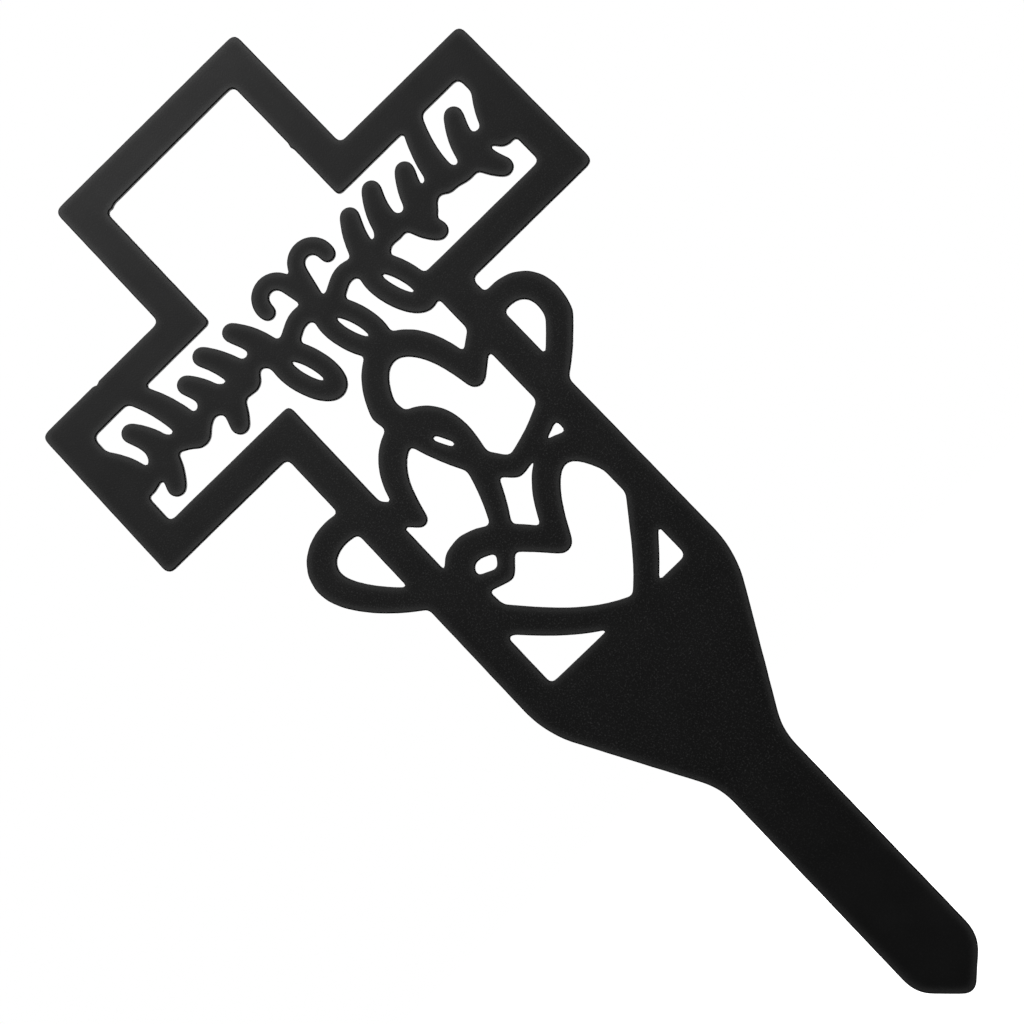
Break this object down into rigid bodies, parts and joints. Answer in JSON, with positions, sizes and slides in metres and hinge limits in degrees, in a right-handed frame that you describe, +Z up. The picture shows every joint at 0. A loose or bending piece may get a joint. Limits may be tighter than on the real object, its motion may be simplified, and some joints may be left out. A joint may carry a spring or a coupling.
{
  "type": "metal grave cross",
  "caption": "Flat metal cross on a pointed stake, cut as an openwork outline with interlaced hearts in the stem and a row of leaning strokes across the crossbar.",
  "frame": {"origin": "middle of the plate at the ground line, where the cross's foot has drawn in to the stake", "axes": "+X across the cross, to the right as seen from the front; +Z up, from the stake towards the top of the cross; +Y from the front face to the back face"},
  "size_m": [0.1504, 0.0016, 0.3004],
  "materials": {
    "black_coating": "black powder coating, fine grained, satin to matt"
  },
  "bodies": {
    "root": {"grave_cross": "black_coating"}
  },
  "joints": []
}
